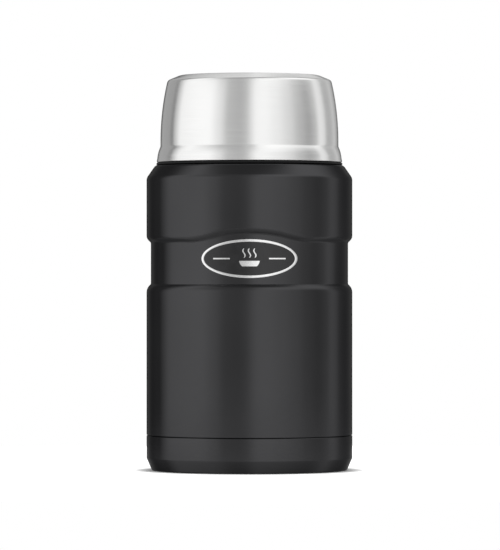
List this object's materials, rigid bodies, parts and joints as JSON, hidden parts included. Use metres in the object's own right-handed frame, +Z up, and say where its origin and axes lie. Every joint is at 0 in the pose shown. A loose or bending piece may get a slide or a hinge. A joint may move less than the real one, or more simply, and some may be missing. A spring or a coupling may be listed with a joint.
{
  "type": "insulated food jar",
  "caption": "Double-walled steel food jar with a waisted black body, a screw stopper and a steel serving bowl that screws on as the lid.",
  "frame": {"origin": "centre of the circle that the jar stands on", "axes": "+Z up along the axis of the jar, -Y towards the badge"},
  "size_m": [0.096, 0.096, 0.185],
  "materials": {
    "black_coat": "satin",
    "vessel_steel": "satin",
    "bowl_steel": "satin",
    "foil": "polished",
    "getter_metal": "matte",
    "seal_metal": "satin",
    "rubber": "matte",
    "badge_black": "satin",
    "badge_bright": "polished",
    "silicone": "satin",
    "black_plastic": "satin",
    "foam": "matte"
  },
  "bodies": {
    "jar": {"outer_shell": "black_coat", "base_cup": "black_coat", "liner_wall": "vessel_steel", "liner_floor": "vessel_steel", "radiation_foil": "foil", "floor_foil": "foil", "getter": "getter_metal", "getter_clip": "vessel_steel", "vacuum_seal": "seal_metal", "base_pad": "rubber", "badge_plate": "badge_black", "badge_trim": "badge_bright", "shoulder_ring": "rubber"},
    "stopper_ring": {"stopper_gasket": "silicone"},
    "stopper": {"stopper_cap": "black_plastic", "stopper_plug": "black_plastic", "stopper_foam": "foam"},
    "bowl_ring": {"bowl_seal": "silicone"},
    "bowl": {"bowl_shell": "bowl_steel", "bowl_inner": "bowl_steel", "bowl_collar": "black_plastic"}
  },
  "joints": [
    {"name": "stopper_rise", "type": "slide", "parent": "jar", "child": "stopper_ring", "axis": [0, 0, 1], "range_m": [0, 0.0361]},
    {"name": "stopper_turn", "type": "hinge", "parent": "stopper_ring", "child": "stopper", "pos_m": [0, 0, 0.158], "axis": [0, 0, 1], "range_deg": [0, 1080]},
    {"name": "bowl_rise", "type": "slide", "parent": "stopper", "child": "bowl_ring", "axis": [0, 0, 1], "range_m": [0, 0.0361]},
    {"name": "bowl_turn", "type": "hinge", "parent": "bowl_ring", "child": "bowl", "pos_m": [0, 0, 0.1459], "axis": [0, 0, 1], "range_deg": [0, 1080]}
  ],
  "couplings": [
    {"joint": "stopper_rise", "follows": "stopper_turn", "m_per_rad": 0.0019099},
    {"joint": "bowl_rise", "follows": "bowl_turn", "m_per_rad": 0.0019099}
  ]
}
